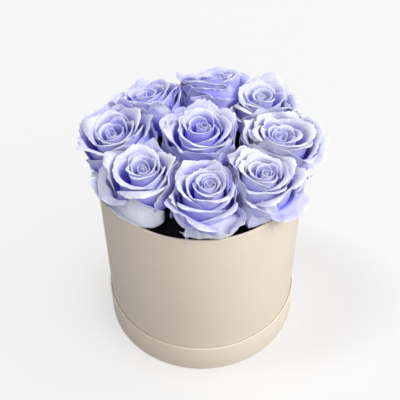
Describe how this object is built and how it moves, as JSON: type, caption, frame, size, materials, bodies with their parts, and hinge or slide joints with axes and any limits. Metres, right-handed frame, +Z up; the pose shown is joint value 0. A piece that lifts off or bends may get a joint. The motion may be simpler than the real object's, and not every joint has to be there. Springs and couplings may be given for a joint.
{
  "type": "box of preserved roses",
  "caption": "Round card box filled with preserved rose heads in pale lavender blue, standing in its own upturned lid.",
  "frame": {"origin": "centre of the lid's flat face, which the box stands on", "axes": "+Z up out of the box, +X to the right and +Y away from someone who looks at its front"},
  "size_m": [0.1858, 0.1685, 0.2055],
  "materials": {
    "cream_board": "smooth matt cream paper wrapped over board",
    "black_paper": "matt black lining paper",
    "black_foam": "fine open-celled floral foam, dyed black",
    "petal": "soft matt preserved petals, pale at the edges and violet blue in the folds",
    "stem": "dry matt green stem and sepals"
  },
  "bodies": {
    "root": {"box_wall": "cream_board", "box_base": "cream_board", "lid": "cream_board", "liner": "black_paper", "foam": "black_foam", "rose_centre_bloom": "petal", "rose_centre_stem": "stem", "rose_front_bloom": "petal", "rose_front_stem": "stem", "rose_front_right_bloom": "petal", "rose_front_right_stem": "stem", "rose_right_bloom": "petal", "rose_right_stem": "stem", "rose_back_right_bloom": "petal", "rose_back_right_stem": "stem", "rose_back_bloom": "petal", "rose_back_stem": "stem", "rose_back_left_bloom": "petal", "rose_back_left_stem": "stem", "rose_left_bloom": "petal", "rose_left_stem": "stem", "rose_front_left_bloom": "petal", "rose_front_left_stem": "stem"}
  },
  "joints": []
}
